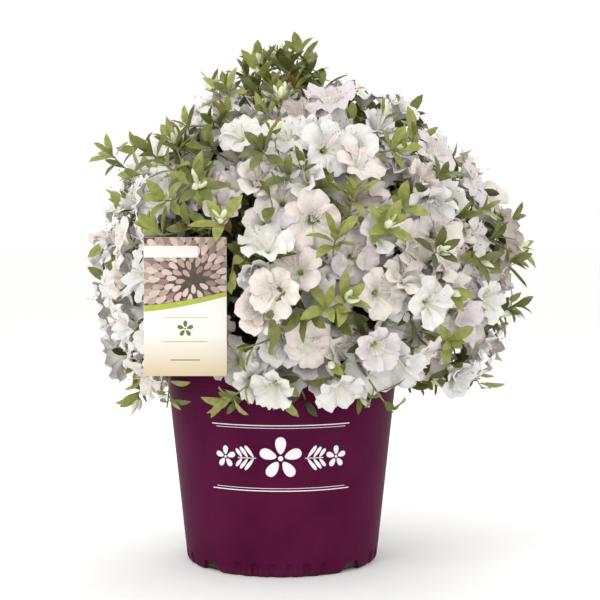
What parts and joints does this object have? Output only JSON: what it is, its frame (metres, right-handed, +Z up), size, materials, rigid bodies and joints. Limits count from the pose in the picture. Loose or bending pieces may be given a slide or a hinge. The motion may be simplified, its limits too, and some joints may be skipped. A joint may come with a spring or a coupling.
{
  "type": "potted azalea shrub",
  "caption": "Dense round azalea shrub in white bloom, standing in a tapered dark purple nursery pot with a plant label on a bent stake.",
  "frame": {"origin": "centre of the pot's flat underside, on the surface it stands on", "axes": "+Z up, -Y towards the front of the plant, where its label hangs, +X to the right seen from the front"},
  "size_m": [0.5533, 0.5226, 0.6331],
  "materials": {
    "pot_plastic": "satin",
    "potting_mix": "crumbly dark bark and peat",
    "label_card": "satin printed card",
    "bark": "rough",
    "foliage_and_blossom": "matt petals and leaves"
  },
  "bodies": {
    "root": {"pot": "pot_plastic", "root_ball": "potting_mix", "plant_label": "label_card", "trunk": "bark", "bough_low_1": "bark", "bough_low_2": "bark", "bough_low_3": "bark", "bough_low_4": "bark", "bough_low_5": "bark", "bough_mid_1": "bark", "bough_mid_2": "bark", "bough_mid_3": "bark", "bough_mid_4": "bark", "bough_high_1": "bark", "bough_high_2": "bark", "bough_high_3": "bark", "mass_low_1": "foliage_and_blossom", "mass_low_2": "foliage_and_blossom", "mass_low_3": "foliage_and_blossom", "mass_low_4": "foliage_and_blossom", "mass_low_5": "foliage_and_blossom", "mass_mid_1": "foliage_and_blossom", "mass_mid_2": "foliage_and_blossom", "mass_mid_3": "foliage_and_blossom", "mass_mid_4": "foliage_and_blossom", "mass_high_1": "foliage_and_blossom", "mass_high_2": "foliage_and_blossom", "mass_high_3": "foliage_and_blossom"}
  },
  "joints": []
}
